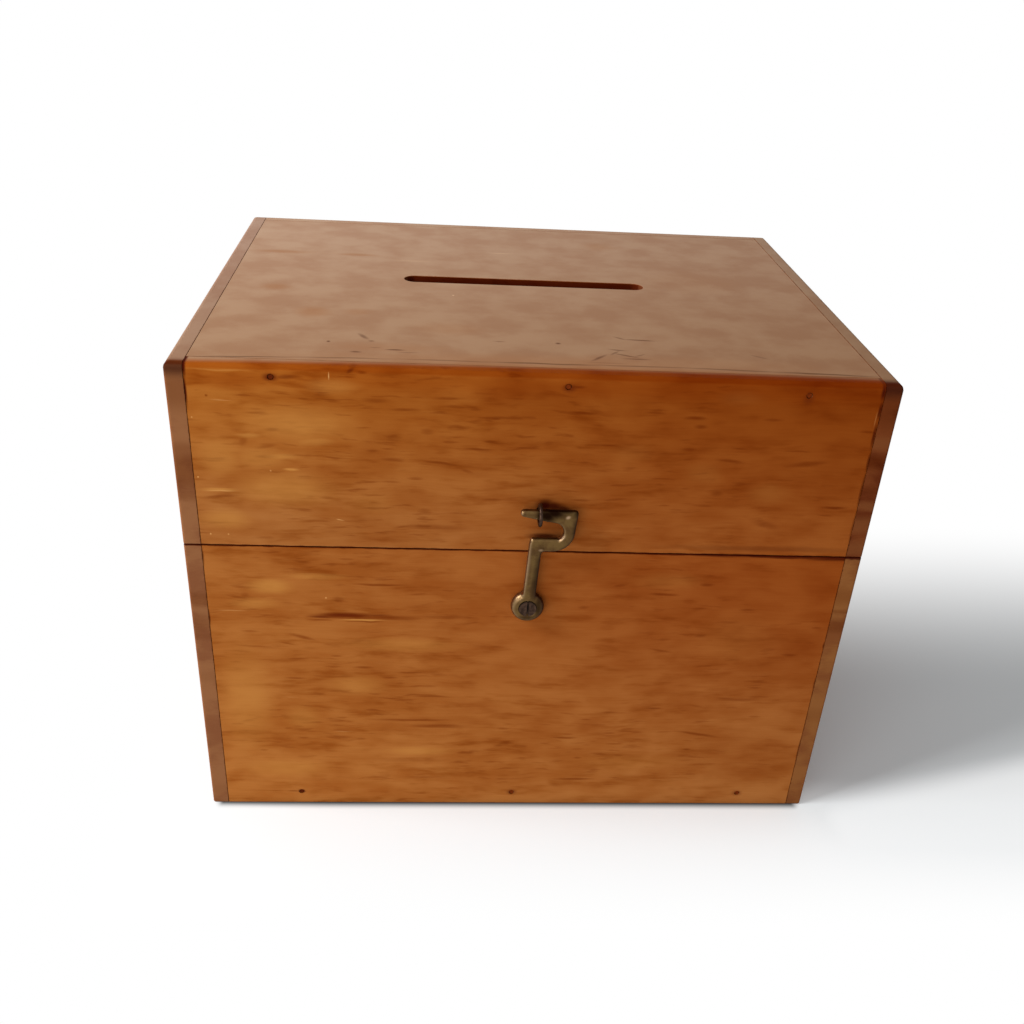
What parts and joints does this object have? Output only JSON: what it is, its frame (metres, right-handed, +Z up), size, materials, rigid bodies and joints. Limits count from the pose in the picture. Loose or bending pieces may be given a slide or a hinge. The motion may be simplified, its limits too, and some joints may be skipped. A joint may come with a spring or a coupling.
{
  "type": "ballot box",
  "caption": "Wooden ballot box in two halves: a deep base and a hinged lid with a slot in its top, held shut by a brass swing hook and a screw eye.",
  "frame": {"origin": "middle of the box's flat underside, under the middle of the wooden body", "axes": "+Z up, +X to the right along the width when facing the hook, +Y from the front to the back"},
  "size_m": [0.32, 0.2648, 0.2483],
  "materials": {
    "front_and_back_boards": "softwood stained honey orange under a satin varnish, grain along the width",
    "side_boards": "softwood stained honey orange under a satin varnish, its end grain brown on the front and back",
    "top_board": "softwood stained tan, worn paler on top",
    "bottom_board": "softwood, thinly varnished",
    "hook_brass": "cast brass, aged to a dark olive",
    "hinge_brass": "dull pressed brass",
    "dark_steel": "steel gone dark brown with age",
    "nail_steel": "rusted nail heads under dark stain"
  },
  "bodies": {
    "base": {"base_back": "front_and_back_boards", "base_bottom": "bottom_board", "base_front": "front_and_back_boards", "base_left_side": "side_boards", "base_right_side": "side_boards", "hinge_left_base_leaf": "hinge_brass", "hinge_left_base_screw_1": "hinge_brass", "hinge_left_base_screw_2": "hinge_brass", "hinge_left_pin": "hinge_brass", "hinge_right_base_leaf": "hinge_brass", "hinge_right_base_screw_1": "hinge_brass", "hinge_right_base_screw_2": "hinge_brass", "hinge_right_pin": "hinge_brass", "hook_screw": "dark_steel", "nail_base_back_1": "nail_steel", "nail_base_back_2": "nail_steel", "nail_base_back_3": "nail_steel", "nail_base_front_1": "nail_steel", "nail_base_front_2": "nail_steel", "nail_base_front_3": "nail_steel", "nail_base_left_back_1": "nail_steel", "nail_base_left_back_2": "nail_steel", "nail_base_left_back_3": "nail_steel", "nail_base_left_front_1": "nail_steel", "nail_base_left_front_2": "nail_steel", "nail_base_left_front_3": "nail_steel", "nail_base_right_back_1": "nail_steel", "nail_base_right_back_2": "nail_steel", "nail_base_right_back_3": "nail_steel", "nail_base_right_front_1": "nail_steel", "nail_base_right_front_2": "nail_steel", "nail_base_right_front_3": "nail_steel"},
    "lid": {"hinge_left_lid_leaf": "hinge_brass", "hinge_left_lid_screw_1": "hinge_brass", "hinge_left_lid_screw_2": "hinge_brass", "hinge_right_lid_leaf": "hinge_brass", "hinge_right_lid_screw_1": "hinge_brass", "hinge_right_lid_screw_2": "hinge_brass", "lid_back": "front_and_back_boards", "lid_front": "front_and_back_boards", "lid_left_side": "side_boards", "lid_right_side": "side_boards", "lid_top": "top_board", "nail_lid_back_1": "nail_steel", "nail_lid_back_2": "nail_steel", "nail_lid_back_3": "nail_steel", "nail_lid_front_1": "nail_steel", "nail_lid_front_2": "nail_steel", "nail_lid_front_3": "nail_steel", "nail_lid_left_back_1": "nail_steel", "nail_lid_left_back_2": "nail_steel", "nail_lid_left_front_1": "nail_steel", "nail_lid_left_front_2": "nail_steel", "nail_lid_right_back_1": "nail_steel", "nail_lid_right_back_2": "nail_steel", "nail_lid_right_front_1": "nail_steel", "nail_lid_right_front_2": "nail_steel", "screw_eye": "dark_steel"},
    "hook": {"hook": "hook_brass"}
  },
  "joints": [
    {"name": "lid_hinge", "type": "hinge", "parent": "base", "child": "lid", "pos_m": [0, 0.1269, 0.16015], "axis": [-1, 0, 0], "range_deg": [0, 183]},
    {"name": "hook_pivot", "type": "hinge", "parent": "base", "child": "hook", "pos_m": [0.0002, -0.124, 0.1311], "axis": [0, 1, 0], "range_deg": [-7, 335]}
  ]
}
